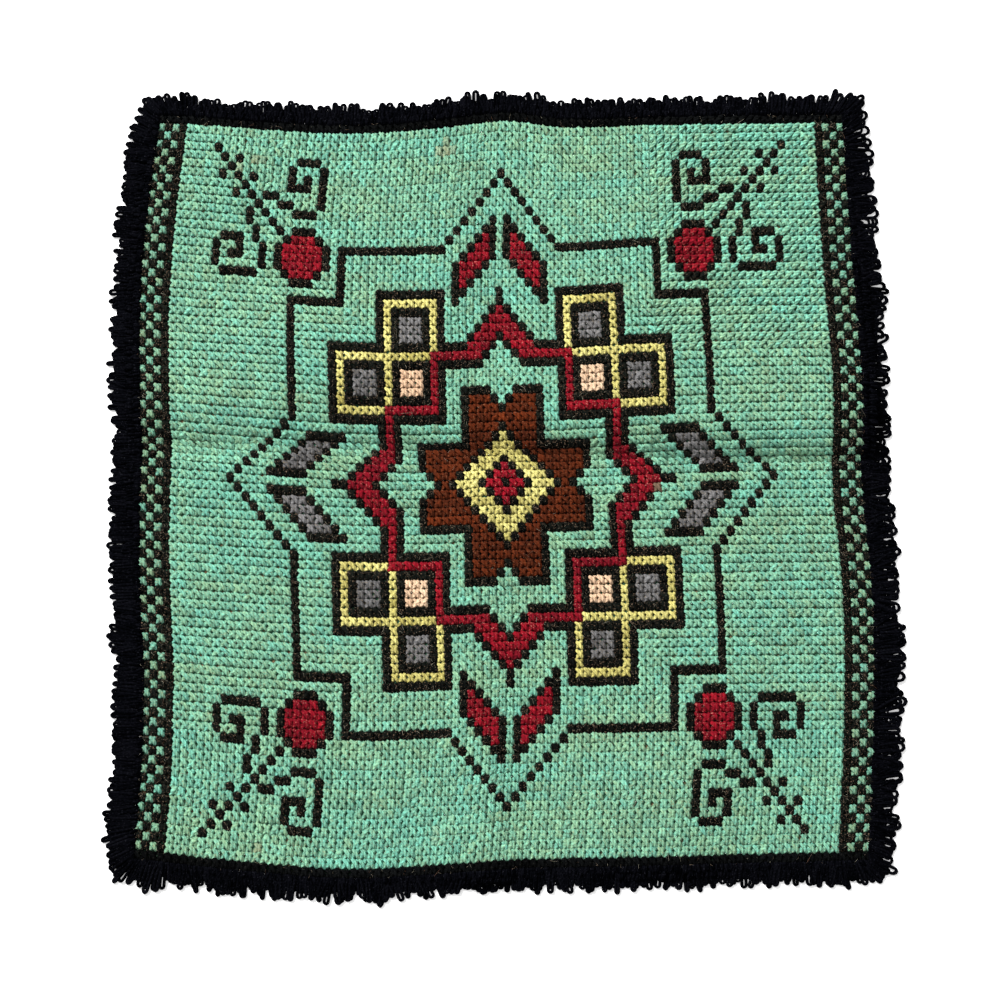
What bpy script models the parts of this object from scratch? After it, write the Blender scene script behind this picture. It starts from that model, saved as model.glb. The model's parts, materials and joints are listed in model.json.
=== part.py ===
"""Square cross-stitch panel with a looped fringe on its four sides, lying flat on a table.

Metres, +Z up. The origin is under the middle of the whole piece, on the table. +Y points to the
panel's top edge and +X to its right edge. The cloth was once folded in four: the fold across it
is a sharp valley, and the fold down it is a shallow valley above that one and a ridge below.
Between the folds the cloth lies in low swells.
"""

import math

import bmesh
import bpy
import numpy as np
from mathutils import Vector

# Cloth
CLOTH_THICK = 0.0026
CELLS_ACROSS = 36
CELLS_UP = 36

# Edges of the stitched cloth. Each row: share of the way along the edge, place of the edge.
LEFT_EDGE = (  # share from the bottom, x
    (0.00, -0.1936),
    (0.10, -0.1911),
    (0.21, -0.1905),
    (0.42, -0.1950),
    (0.54, -0.1947),
    (0.63, -0.1962),
    (0.72, -0.1975),
    (0.86, -0.1944),
    (1.00, -0.1886),
)
RIGHT_EDGE = (  # share from the bottom, x
    (0.00, 0.1934),
    (0.17, 0.1981),
    (0.38, 0.1986),
    (0.47, 0.1955),
    (0.67, 0.1954),
    (0.83, 0.1924),
    (1.00, 0.1896),
)
BOTTOM_EDGE = (  # share from the left, y
    (0.00, -0.1990),
    (0.16, -0.2057),
    (0.30, -0.2093),
    (0.41, -0.2072),
    (0.51, -0.2044),
    (0.64, -0.2033),
    (0.78, -0.2019),
    (1.00, -0.2000),
)
TOP_EDGE = (  # share from the left, y
    (0.00, 0.2066),
    (0.18, 0.2014),
    (0.30, 0.2000),
    (0.41, 0.2031),
    (0.50, 0.2077),
    (0.58, 0.2037),
    (0.72, 0.2049),
    (0.84, 0.2060),
    (1.00, 0.2068),
)

# Fold across the cloth. Each row: x, and there the fold's y or the height of one of its sides.
FOLD_LINE = ((-0.20, 0.0205), (-0.02, 0.0175), (0.08, 0.0135), (0.20, 0.0120))
ABOVE_HEIGHT = ((-0.20, 0.0066), (0.00, 0.0075), (0.10, 0.0106), (0.20, 0.0102))
BELOW_HEIGHT = ((-0.20, 0.0040), (-0.04, 0.0026), (0.10, 0.0006), (0.20, 0.0004))
ABOVE_RISE = 0.0105  # distance in which that side rises
BELOW_RISE = 0.0130
FOLD_RUN = 0.055  # distance in which it sinks back to the table
SHOULDER = 1.5  # above 1, the bottom of a fold is rounded

# Fold down the cloth
DOWN_FOLD_X = -0.0077
DOWN_FOLD_SWAY = 0.0045
SWAY_RATE = 16
RIDGE_HEIGHT = 0.0034
RIDGE_WIDTH = 0.014
VALLEY_HEIGHT = 0.0056
VALLEY_RISE = 0.024

# Low swells between the folds. Each row: x, y, half length, half width, turn in degrees, height.
SWELLS = (
    (-0.118, 0.063, 0.075, 0.033, 27, 0.0036),
    (0.148, 0.055, 0.070, 0.034, -24, 0.0032),
    (0.068, 0.095, 0.075, 0.032, 78, 0.0034),
    (-0.168, 0.165, 0.060, 0.030, 53, 0.0030),
    (0.094, -0.155, 0.070, 0.034, 76, 0.0042),
)
FOLD_BLEND = 0.020  # distance over which the rest gives way to the fold across
SIDE_CHANGE = 0.005  # distance over which the fold down turns from a valley to a ridge
LIFT_LOST = 0.0006  # lifts lower than this have sunk flat onto the table

# Grid of the cloth, closer near the folds
FOLD_ZONE = 0.08  # share of the cloth
SAMPLES = 400
CLOSER_UP = 2.2
CLOSER_ACROSS = 1.2

# Fringe
SEAM_GAP = 0.0003
HEADING_WIDE = 0.0042
HEADING_THICK = 0.0024
LOCKS_A_SIDE = 64
LOCK_SHARE = 0.72  # of the distance between two locks
LOCK_WAIST = 0.62  # where on its length a lock starts to narrow
TIP_WIDE = 0.50  # of the root's width
TIP_THICK = 0.62  # of the root's thickness
SIDE_REACH = 0.0150  # beyond the cloth, on the left and right
END_REACH = 0.0110  # beyond the cloth, at the top and bottom
CORNER_REACH = 0.0160
REACH_WAVE = 0.0012
REACH_RATES = (0.52, 1.31)  # turns of the two waves for each lock, in radians
SECOND_WAVE = 0.6  # of the first wave
REACH_SCATTER = 0.0010
LEAN_WAVE = math.radians(7)
LEAN_RATES = (1.25, 0.37)
LEAN_SCATTER = math.radians(2.5)
FAN_ANGLE = math.radians(45)
FAN_LENGTH = 0.026
FAN_CURVE = 1.5  # above 1, most of the fanning is close to the corner
SEED = 20

# Colours, linear
MINT = (0.125, 0.520, 0.340, 1.0)
BLUE_BLACK = (0.010, 0.011, 0.016, 1.0)
YARN_ROUGH = 0.85


def along_table(table, place):
    """Smooth curve through a table's rows, read at one place."""
    places, values = np.array(table).T
    slopes = np.gradient(values, places)
    i = min(max(int(np.searchsorted(places, place)) - 1, 0), len(places) - 2)
    step = places[i + 1] - places[i]
    t = (place - places[i]) / step
    start = (1 + 2 * t) * (1 - t) ** 2 * values[i] + t * (1 - t) ** 2 * step * slopes[i]
    end = t * t * (3 - 2 * t) * values[i + 1] + t * t * (t - 1) * step * slopes[i + 1]
    return float(start + end)


def bump(distance, width):
    """1 in the middle, dying out a few widths away."""
    return math.exp(-((distance / width) ** 2))


def crease(distance, rise):
    """Side of a fold: 0 at its bottom, up within the rise, and slowly down again beyond."""
    distance = abs(distance)
    return (1 - math.exp(-((distance / rise) ** SHOULDER))) * math.exp(-distance / FOLD_RUN)


def swell(x, y, row):
    middle_x, middle_y, half_long, half_wide, turn, height = row
    c, s = math.cos(math.radians(turn)), math.sin(math.radians(turn))
    along = (x - middle_x) * c + (y - middle_y) * s
    beside = (y - middle_y) * c - (x - middle_x) * s
    return height * bump(along, half_long) * bump(beside, half_wide)


def lift(x, y):
    """Height of the cloth's underside above the table."""
    across = y - along_table(FOLD_LINE, x)
    if across > 0:
        height = along_table(ABOVE_HEIGHT, x) * crease(across, ABOVE_RISE)
    else:
        height = along_table(BELOW_HEIGHT, x) * crease(across, BELOW_RISE)
    down = x - DOWN_FOLD_X - DOWN_FOLD_SWAY * math.sin(y * SWAY_RATE)
    above = 1 / (1 + math.exp(-across / SIDE_CHANGE))
    rest = above * VALLEY_HEIGHT * crease(down, VALLEY_RISE)
    rest += (1 - above) * RIDGE_HEIGHT * bump(down, RIDGE_WIDTH)
    rest += sum(swell(x, y, row) for row in SWELLS)
    height += (1 - bump(across, FOLD_BLEND)) * rest
    return max(0.0, height - LIFT_LOST)


def cloth_point(across, up):
    """Point of the cloth's underside at a share across and a share up."""
    left, right = along_table(LEFT_EDGE, up), along_table(RIGHT_EDGE, up)
    bottom, top = along_table(BOTTOM_EDGE, across), along_table(TOP_EDGE, across)
    x = left + (right - left) * across
    y = bottom + (top - bottom) * up
    return Vector((x, y, lift(x, y)))


def closer_near(count, middle, pull):
    """Shares from 0 to 1 that lie closer together near a fold."""
    even = np.linspace(0, 1, SAMPLES)
    density = 1 + pull * np.exp(-(((even - middle) / FOLD_ZONE) ** 2))
    total = np.concatenate(([0], np.cumsum((density[1:] + density[:-1]) / 2)))
    return np.interp(np.linspace(0, total[-1], count + 1), total, even)


def paint(obj, name, colour):
    material = bpy.data.materials.new(name)
    material.use_nodes = True
    shader = material.node_tree.nodes["Principled BSDF"]
    shader.inputs["Base Color"].default_value = colour
    shader.inputs["Roughness"].default_value = YARN_ROUGH
    shader.inputs["Metallic"].default_value = 0.0
    obj.data.materials.append(material)


def new_object(name, bm):
    mesh = bpy.data.meshes.new(name)
    bm.to_mesh(mesh)
    bm.free()
    obj = bpy.data.objects.new(name, mesh)
    bpy.context.scene.collection.objects.link(obj)
    return obj


def make_cloth():
    """One sheet: its underside is laid out as a grid, and Solidify gives it its thickness."""
    bottom, top = BOTTOM_EDGE[0][1], TOP_EDGE[0][1]
    fold_share = (along_table(FOLD_LINE, 0) - bottom) / (top - bottom)
    shares_up = closer_near(CELLS_UP, fold_share, CLOSER_UP)
    shares_across = closer_near(CELLS_ACROSS, 0.5, CLOSER_ACROSS)
    bm = bmesh.new()
    grid = [[bm.verts.new(cloth_point(u, v)) for u in shares_across] for v in shares_up]
    for low, high in zip(grid, grid[1:]):
        for i in range(CELLS_ACROSS):
            bm.faces.new((low[i], low[i + 1], high[i + 1], high[i]))
    bm.normal_update()
    obj = new_object("stitched_cloth", bm)
    thick = obj.modifiers.new("thickness", "SOLIDIFY")
    thick.thickness = CLOTH_THICK
    thick.offset = 1.0
    paint(obj, "mint_stitching", MINT)
    return obj


def fan(share, length):
    """Angle by which the fringe spreads towards the nearer corner."""
    from_start = max(0.0, 1 - share * length / FAN_LENGTH)
    from_end = max(0.0, 1 - (1 - share) * length / FAN_LENGTH)
    return FAN_ANGLE * (from_end**FAN_CURVE - from_start**FAN_CURVE)


def turned(direction, angle):
    """Direction on the table, turned clockwise as seen from above."""
    c, s = math.cos(angle), math.sin(angle)
    return Vector((direction.x * c + direction.y * s, direction.y * c - direction.x * s, 0))


def make_fringe(name, edge, outward, reach, rng):
    """Narrow heading along one edge, with the locks grown out of its outer wall."""
    length = (edge(1) - edge(0)).length
    pitch = 1 / LOCKS_A_SIDE
    half_lock = pitch * LOCK_SHARE / 2
    end_play = SEAM_GAP / length
    shares = []
    for k in range(LOCKS_A_SIDE):
        middle = (k + 0.5) * pitch
        shares += [middle - half_lock, middle + half_lock]
    shares[0], shares[-1] = end_play, 1 - end_play

    bm = bmesh.new()
    stations = []
    for share in shares:
        root = edge(share)
        angle = fan(share, length)
        away = turned(outward, angle) / math.cos(angle)
        inner = root + away * SEAM_GAP
        outer = root + away * (SEAM_GAP + HEADING_WIDE)
        up = Vector((0, 0, HEADING_THICK))
        ring = (inner, inner + up, outer + up, outer)
        stations.append([bm.verts.new(p) for p in ring])
    for k, (one, two) in enumerate(zip(stations, stations[1:])):
        for i in range(4):
            if i == 2 and k % 2 == 0:
                continue  # a lock grows here
            j = (i + 1) % 4
            bm.faces.new((one[i], one[j], two[j], two[i]))
    bm.faces.new(stations[0])
    bm.faces.new(stations[-1])

    starts = rng.uniform(0, 2 * math.pi, 4)
    for k in range(LOCKS_A_SIDE):
        one, two = stations[2 * k], stations[2 * k + 1]
        root = [one[3], one[2], two[2], two[3]]
        middle = (one[3].co + two[3].co) / 2
        share = (k + 0.5) * pitch
        corner = abs(fan(share, length)) / FAN_ANGLE
        lean = LEAN_WAVE * math.sin(k * LEAN_RATES[0] + starts[0]) * math.sin(k * LEAN_RATES[1] + starts[1])
        lean += LEAN_SCATTER * rng.uniform(-1, 1)
        direction = turned(outward, fan(share, length) + lean * (1 - corner))
        wave = math.sin(k * REACH_RATES[0] + starts[2])
        wave += SECOND_WAVE * math.sin(k * REACH_RATES[1] + starts[3])
        long = reach + (CORNER_REACH - reach) * corner
        long += REACH_WAVE * wave * (1 - corner) + REACH_SCATTER * rng.uniform(-1, 1)
        long -= HEADING_WIDE + SEAM_GAP
        side = turned(direction, math.pi / 2)
        wide = (two[3].co - one[3].co).length
        for share_out, width, thick in ((LOCK_WAIST, 1.0, 1.0), (1.0, TIP_WIDE, TIP_THICK)):
            foot = middle + direction * long * share_out
            foot.z = middle.z * (1 - share_out)
            half = side * wide * width / 2
            up = Vector((0, 0, HEADING_THICK * thick))
            corners = (foot - half, foot - half + up, foot + half + up, foot + half)
            ring = [bm.verts.new(p) for p in corners]
            for i in range(4):
                j = (i + 1) % 4
                bm.faces.new((root[i], root[j], ring[j], ring[i]))
            root = ring
        bm.faces.new(root)
    bmesh.ops.recalc_face_normals(bm, faces=bm.faces[:])
    obj = new_object(name, bm)
    paint(obj, name + "_yarn", BLUE_BLACK)
    return obj


def centre_on_origin(objects):
    """Moves every mesh so that the middle of the whole box is over the origin."""
    corners = np.array([v.co for obj in objects for v in obj.data.vertices])
    middle = (corners.min(axis=0) + corners.max(axis=0)) / 2
    for obj in objects:
        for vertex in obj.data.vertices:
            vertex.co.x -= middle[0]
            vertex.co.y -= middle[1]


def main():
    for obj in list(bpy.data.objects):
        bpy.data.objects.remove(obj)
    rng = np.random.default_rng(SEED)
    objects = [make_cloth()]
    sides = (  # name, edge walked clockwise as seen from above, outward direction, reach
        ("fringe_top", lambda t: cloth_point(t, 1), Vector((0, 1, 0)), END_REACH),
        ("fringe_right", lambda t: cloth_point(1, 1 - t), Vector((1, 0, 0)), SIDE_REACH),
        ("fringe_bottom", lambda t: cloth_point(1 - t, 0), Vector((0, -1, 0)), END_REACH),
        ("fringe_left", lambda t: cloth_point(0, t), Vector((-1, 0, 0)), SIDE_REACH),
    )
    for name, edge, outward, reach in sides:
        objects.append(make_fringe(name, edge, outward, reach, rng))
    centre_on_origin(objects)


main()
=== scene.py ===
"""Looks of a square cross-stitch panel with a looped fringe, laid flat.

Metres, +Z up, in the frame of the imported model. The canvas, every wool cross, the whipped heading,
the fringe loops and the stray hairs are real meshes. Each kind of thing is shaped once as a short
piece of yarn, and stamped wherever the canvas needs it.
"""

import json
import math

import bpy
import numpy as np
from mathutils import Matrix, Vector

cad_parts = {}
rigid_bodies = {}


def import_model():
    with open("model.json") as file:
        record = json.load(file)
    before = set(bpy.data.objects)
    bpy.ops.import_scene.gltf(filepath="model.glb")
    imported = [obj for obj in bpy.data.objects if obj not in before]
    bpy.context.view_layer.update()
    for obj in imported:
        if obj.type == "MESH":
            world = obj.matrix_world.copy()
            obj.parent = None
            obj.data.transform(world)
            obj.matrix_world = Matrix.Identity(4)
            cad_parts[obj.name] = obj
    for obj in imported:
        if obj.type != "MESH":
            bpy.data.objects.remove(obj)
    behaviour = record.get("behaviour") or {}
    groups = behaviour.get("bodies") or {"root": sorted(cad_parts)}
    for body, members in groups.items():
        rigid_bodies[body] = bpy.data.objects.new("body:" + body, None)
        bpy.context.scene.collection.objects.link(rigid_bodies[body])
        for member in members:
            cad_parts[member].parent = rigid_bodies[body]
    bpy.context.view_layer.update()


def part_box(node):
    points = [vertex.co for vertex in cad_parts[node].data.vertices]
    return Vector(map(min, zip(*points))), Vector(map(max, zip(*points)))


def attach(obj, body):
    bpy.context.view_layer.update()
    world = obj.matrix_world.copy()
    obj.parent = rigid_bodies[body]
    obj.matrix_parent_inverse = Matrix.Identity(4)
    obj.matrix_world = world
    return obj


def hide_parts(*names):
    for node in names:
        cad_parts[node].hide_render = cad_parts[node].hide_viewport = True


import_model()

bl_info = {
    "name": "Cross-Stitch Panel",
    "version": (1, 0, 0),
    "blender": (4, 5, 0),
    "location": "3D View > Sidebar > Stitching",
    "description": "Works a wool cross-stitch panel with a looped fringe, piece by piece",
    "category": "Add Mesh",
}

BODY = "root"
MM = 0.001

# Outline of the stitched cloth. Each row: share of the way along the edge, place of the edge.
LEFT_EDGE = (  # share from the bottom, x
    (0.00, -0.1936), (0.10, -0.1911), (0.21, -0.1905), (0.42, -0.1950),
    (0.54, -0.1947), (0.63, -0.1962), (0.72, -0.1975), (0.86, -0.1944),
    (1.00, -0.1886),
)
RIGHT_EDGE = (  # share from the bottom, x
    (0.00, 0.1934), (0.17, 0.1981), (0.38, 0.1986), (0.47, 0.1955),
    (0.67, 0.1954), (0.83, 0.1924), (1.00, 0.1896),
)
BOTTOM_EDGE = (  # share from the left, y
    (0.00, -0.1990), (0.16, -0.2057), (0.30, -0.2093), (0.41, -0.2072),
    (0.51, -0.2044), (0.64, -0.2033), (0.78, -0.2019), (1.00, -0.2000),
)
TOP_EDGE = (  # share from the left, y
    (0.00, 0.2066), (0.18, 0.2014), (0.30, 0.2000), (0.41, 0.2031),
    (0.50, 0.2077), (0.58, 0.2037), (0.72, 0.2049), (0.84, 0.2060),
    (1.00, 0.2068),
)

# Folds, as on the solid. Each row of a table: x, and there the fold's y or its side's height.
FOLD_LINE = ((-0.20, 0.0205), (-0.02, 0.0175), (0.08, 0.0135), (0.20, 0.0120))
ABOVE_HEIGHT = ((-0.20, 0.0066), (0.00, 0.0075), (0.10, 0.0106), (0.20, 0.0102))
BELOW_HEIGHT = ((-0.20, 0.0040), (-0.04, 0.0026), (0.10, 0.0006), (0.20, 0.0004))
ABOVE_RISE = 0.0105
BELOW_RISE = 0.0130
FOLD_RUN = 0.055
SHOULDER = 1.5
DOWN_FOLD_X = -0.0077
DOWN_FOLD_SWAY = 0.0045
SWAY_RATE = 16  # radians of sway a metre
RIDGE_HEIGHT = 0.0034
RIDGE_WIDTH = 0.014
VALLEY_HEIGHT = 0.0056
VALLEY_RISE = 0.024

# Low swells between the folds. Each row: x, y, half length, half width, turn in degrees, height.
SWELLS = (
    (-0.118, 0.063, 0.075, 0.033, 27, 0.0036),
    (0.148, 0.055, 0.070, 0.034, -24, 0.0032),
    (0.068, 0.095, 0.075, 0.032, 78, 0.0034),
    (-0.168, 0.165, 0.060, 0.030, 53, 0.0030),
    (0.094, -0.155, 0.070, 0.034, 76, 0.0042),
)
FOLD_BLEND = 0.020
SIDE_CHANGE = 0.005
LIFT_LOST = 0.0006

# Crosses, counted from the ground's top left cross
GROUND_COLUMNS = 85
GROUND_ROWS = 81
BORDER_COLUMNS = 4
END_ROWS = 1
COLUMNS = GROUND_COLUMNS + 2 * BORDER_COLUMNS
ROWS = GROUND_ROWS + 2 * END_ROWS
FIRST_COLUMN, LAST_COLUMN = -BORDER_COLUMNS, GROUND_COLUMNS + BORDER_COLUMNS
FIRST_ROW, LAST_ROW = -END_ROWS, GROUND_ROWS + END_ROWS
MIDDLE_COLUMN = 42
MIDDLE_ROW = 40
LEVEL_FROM = 27  # columns right of the middle past which the upper right corner closes up level
LAST_LEVEL_ROW = 67  # below this row all crosses close up into upright ribs
TURNED_CORNER = (62, 26)  # right of this column and above this row the upper legs slant the other way

# How the rows and columns wander between the edges
COLUMN_SHIFTS = (  # column, columns wide, share of the width at the foot, more at the top, its power
    (28, 12, 0.0051, 0.0036, 1),
    (57, 8, 0.0, -0.0026, 1),
    (67, 14, 0.0, -0.0051, 2),
)
FOLD_ROW = 37  # the row along the level fold
FOLD_PULL = 0.0047  # share of the height by which the fold draws the rows on both sides closer
FOLD_LIFT = 0.0007
FOLD_TURN_ROWS, FOLD_FADE_ROWS, FOLD_LIFT_ROWS = 2, 22, 30
TOP_WAVE_REACH = 3.0  # the top edge's waves die out with this power of the share up
BOTTOM_WAVE_REACH = 2.0
LEAN = 0.0017  # how far the columns swing to the right below the fold
LEAN_PLACE = (44, 8)  # row, rows wide
LEAN_SHARES = (0.45, 0.35)  # share across, share wide
LEFT_ARCH = 0.0018  # how far the rows rise at the left edge, halfway up
LEFT_ARCH_FADE = 0.09
SAG_PLACE = (37, 25)  # column, columns wide
ROW_SAG = (  # share from the bottom, how far the middle of a row sags
    (0.00, 0.0), (0.22, 0.0005), (0.36, 0.0018), (0.50, 0.0043),
    (0.60, 0.0053), (0.80, 0.0052), (0.92, 0.0032), (1.00, 0.0),
)

# Stained crosses: column, row, and how stained, from 0 to 1
STAINS = {
    (33, 2): 0.45, (34, 2): 0.50, (35, 2): 0.35, (34, 1): 0.30,
    (9, 3): 0.35, (10, 3): 0.25, (7, 4): 0.35, (62, 41): 0.60,
    (33, 77): 0.22, (33, 78): 0.16, (32, 76): 0.12, (11, 79): 0.40,
}

# Dyes of the wools: the lighter shade, or the bluish mint, and the darker one, or the yellowish mint
DYES = {
    "mint": ((0.186, 0.572, 0.422), (0.284, 0.522, 0.304)),
    "black": ((0.0085, 0.0108, 0.0082), (0.002, 0.0022, 0.002)),
    "edge": ((0.0050, 0.0056, 0.0060), (0.0015, 0.0016, 0.0018)),
    "red": ((0.340, 0.005, 0.016), (0.170, 0.003, 0.011)),
    "brown": ((0.150, 0.025, 0.005), (0.066, 0.013, 0.004)),
    "yellow": ((0.960, 0.880, 0.300), (0.490, 0.420, 0.105)),
    "grey": ((0.234, 0.230, 0.231), (0.097, 0.094, 0.095)),
    "peach": ((0.985, 0.710, 0.470), (0.830, 0.520, 0.320)),
}

# Finish of each wool: colour of the lint caught in it, how much of it shows, how rare its flecks
# are, sheen and gloss. On the fringe the flecks are painted glints and not lint.
TAN_LINT = (0.44, 0.30, 0.10)
FINISHES = {
    "mint": ((0.42, 0.24, 0.09), 0.34, 0.59, 0.30, 0.25),
    "black": ((0.30, 0.20, 0.13), 0.60, 0.62, 0.02, 0.04),
    "red": ((0.75, 0.33, 0.25), 0.50, 0.63, 0.08, 0.10),
    "brown": ((0.30, 0.13, 0.06), 0.38, 0.61, 0.06, 0.08),
    "yellow": (TAN_LINT, 0.20, 0.58, 0.20, 0.25),
    "grey": (TAN_LINT, 0.20, 0.58, 0.15, 0.15),
    "peach": (TAN_LINT, 0.05, 0.58, 0.20, 0.25),
    "edge": ((0.06, 0.06, 0.05), 0.15, 0.60, 0.0, 0.02),
    # painted highlights: the fringe's light flecks stand for glints on its yarn
    "fringe": ((0.10, 0.10, 0.13), 0.35, 0.66, 0.0, 0.0),
    "fibre": ((0.130, 0.060, 0.036), 0.10, 0.58, 0.1, 0.1),
}
YARN_SOCKETS = (
    ("INPUT", "Color", ("Light Dye", "Dark Dye", "Fleck")),
    ("INPUT", "Float", ("Fleck Share", "Fleck Rarity", "Twist", "Shade", "Depth", "Stain")),
    ("OUTPUT", "Color", ("Colour",)),
    ("OUTPUT", "Float", ("Height",)),
)
STRANDS = 2.0

# Noises of the materials: scale and detail
FIBRE_GRAIN = (2400, 3)
FLECK_GRAIN = (1300, 1)
BLOTCH_GRAIN = (850, 2)
DYE_GRAIN = (600, 2)
SLUB_GRAIN = (900, 3)
BARE_GRAIN = (260, 2)
MOST_NOISE = (0.3, 0.7)  # most of a noise lies between these
BARE_NOISE = (0.53, 0.65)  # canvas threads are bare above this
THREADS_A_CROSS = 4
DARK_FLUFF = (0.008, 0.007, 0.006, 1)

# Cross-sections of yarns, sideways and up, as shares of their half width and half thickness
TWO_STRANDS = ((-1.0, -0.55), (-0.58, 0.60), (0.0, 0.30), (0.58, 0.60), (1.0, -0.55))
ONE_STRAND = ((-1.0, 0.0), (0.0, 1.0), (1.0, 0.0), (0.0, -1.0))
FLAT_STRAND = ((-1.0, 0.4), (1.0, 0.4), (0.0, -1.0))
HAIR = ((-1.0, -0.5), (0.0, 1.0), (1.0, -0.5))

# Legs of a cross: stations along each, section, its share of the wool's width and thickness,
# height of its foot and crown, and how far it bows sideways
LEG_LENGTH = 0.0063
LEG_ENDS = 0.68  # width of a leg's ends, as a share of its crown's
LEGS = {
    "over": ((0, 0.08, 0.34, 0.66, 0.92, 1), TWO_STRANDS, 1.0, 1.0, 0.50 * MM, 1.45 * MM, 0.58 * MM),
    "under": ((0, 0.10, 0.5, 0.90, 1), ONE_STRAND, 1.18, 1.0, 0.50 * MM, 0.75 * MM, 0.0),
    "bar": ((0, 0.15, 0.85, 1), FLAT_STRAND, 0.8, 1 / 3, 0.10 * MM, 0.05 * MM, 0.0),
}
# painted shade in the groove between an over leg's two strands, as a share of its depth
GROOVE_SHADE = 0.72
BAR_ABOVE = 0.3 * MM
BAR_SHARE = 0.92

# How the crosses fill their cells, as shares of a cell
LEG_REACH = 1.02
RIB_GAP = 0.045  # gap between two ribs of the ground, where the stitching is neither tight nor loose
TIGHT_GAP = 0.035
RIB_FILL = 0.15
LEVEL_GAP = 0.7  # of an upright rib's gap
PLUMPER = {"red": 1.15, "brown": 1.03, "black": 1.08, "yellow": 0.92}
BORDER_BLACK_PLUMP = 0.98
RUBBED_PLUMP, RUBBED_CLEAN, RUBBED_SHORT, RUBBED_STAIN = 0.96, 0.45, 0.87, 0.16

# Unevenness of the hand and the wool, from cross to cross
LEAN_PLAY = 0.16 * MM
PLACE_PLAY = 0.17 * MM
HEIGHT_PLAY = 0.08 * MM
LENGTH_PLAY, WIDTH_PLAY, THICK_PLAY, SHADE_PLAY = 0.04, 0.10, 0.14, 0.12
CROSS_CLEAN, LEG_CLEAN = (0.40, 1.0), (0.75, 1.0)
PATCH_SHADE, PATCH_CROSSES = 0.10, 5
LOT_SHADE, LOT_CROSSES, LOT_STRETCH = 0.35, 12, 5  # a dye lot is this many times as long as tall
TIGHT_CROSSES = 9

# Stray fibres
HAIR_KINDS = 4
HAIR_POINTS = 5
FIELD_HAIRS = 0.12  # hairs on the other wools to each 1 on the black
SIDE_HAIRS, END_HAIRS = 1.3, 0.3  # hairs in the borders to each 1 on the ground
HAIR_ABOVE = (1.7, 2.3)  # millimetres above the canvas
HAIR_BOW = 0.7
HAIR_RISE = 0.35 * MM
LONG_HAIR = 3.0

# Fringe
FAN_ANGLE = math.radians(45)
FAN_LENGTH = 0.026
FAN_POWER = 1.5
CLOTH_TOP = 2.6 * MM
EDGE_SAMPLES = 60
SIDES = (  # name, edge's ends as (column, row) walked clockwise, outward direction, how loose
    ("fringe_top", (FIRST_COLUMN, FIRST_ROW), (LAST_COLUMN, FIRST_ROW), (0, 1), 0.6),
    ("fringe_right", (LAST_COLUMN, FIRST_ROW), (LAST_COLUMN, LAST_ROW), (1, 0), 1.0),
    ("fringe_bottom", (LAST_COLUMN, LAST_ROW), (FIRST_COLUMN, LAST_ROW), (0, -1), 0.7),
    ("fringe_left", (FIRST_COLUMN, LAST_ROW), (FIRST_COLUMN, FIRST_ROW), (-1, 0), 0.38),
)
TIDY_LOOPS = (0.70, 0.75, 0.80, 0.85, 0.90, 0.95)  # widths, as shares of the loop width
LOOSE_LOOPS = (0.75, 0.85, 0.95, 1.10, 1.25, 1.40)
LOOSE_FROM = 0.8
LOOP_KINDS = 9
LOOP_LENGTH = 14 * MM
LOOP_ROOT = 0.5 * MM  # how far a loop starts inside the edge
LOOP_OUT = (0.0, 0.25, 0.55)
LOOP_NECK = 0.45
TIP_POINTS = 6
LOOP_SWAY = 1.0 * MM
CLUMP_WIDTHS = (0.35, 1.65)
CLUMP_FILL = 0.92
CLUMP_REACH = 1.2 * MM
FEWEST_LOOPS = 3
REACH_PLAY = 0.6 * MM
LOWER_LOOPS = (1.0 * MM, 4.5 * MM)  # how much shorter the loops underneath are
WHIP_PITCH = 1.1 * MM
WHIP_WIDE, WHIP_THICK, WHIP_BOW = 0.95 * MM, 0.85 * MM, 0.2 * MM
WHIP_STATIONS = (0, 0.2, 0.5, 0.8, 1)
SIDE_COVER, END_COVER = 2.0 * MM, 1.3 * MM  # how far the heading covers the cloth
INNER_WHIPS = (5.5 * MM, 2.5 * MM)  # length and height
OUTER_WHIPS = (1.2 * MM, 6.5 * MM, 1.7 * MM)  # how far out they start, length and height

# Stage
VIEWED = np.array([-0.000486, -0.00842, 0])  # the point that the camera looks at, before the shift
WINDOW_PLACE = (-2.1, 2.9, 2.9)
WINDOW_WIDE = 1.6
FLOOR_WIDE = 4


def along_table(table, share):
    """Smooth curve through a table's rows, read at shares of the way."""
    places, values = np.array(table).T
    slopes = np.gradient(values, places)
    share = np.asarray(share, float)
    i = np.clip(np.searchsorted(places, share) - 1, 0, len(places) - 2)
    step = places[i + 1] - places[i]
    t = (share - places[i]) / step
    start = (1 + 2 * t) * (1 - t) ** 2 * values[i] + t * (1 - t) ** 2 * step * slopes[i]
    return start + t * t * (3 - 2 * t) * values[i + 1] + t * t * (t - 1) * step * slopes[i + 1]


def bump(value, middle, width):
    """1 at the middle, dying out a few widths away."""
    return np.exp(-(((value - middle) / width) ** 2))


def crease(distance, rise):
    """Side of a fold: 0 at its bottom, up within the rise, and slowly down again beyond."""
    distance = np.abs(distance)
    return (1 - np.exp(-((distance / rise) ** SHOULDER))) * np.exp(-distance / FOLD_RUN)


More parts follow.
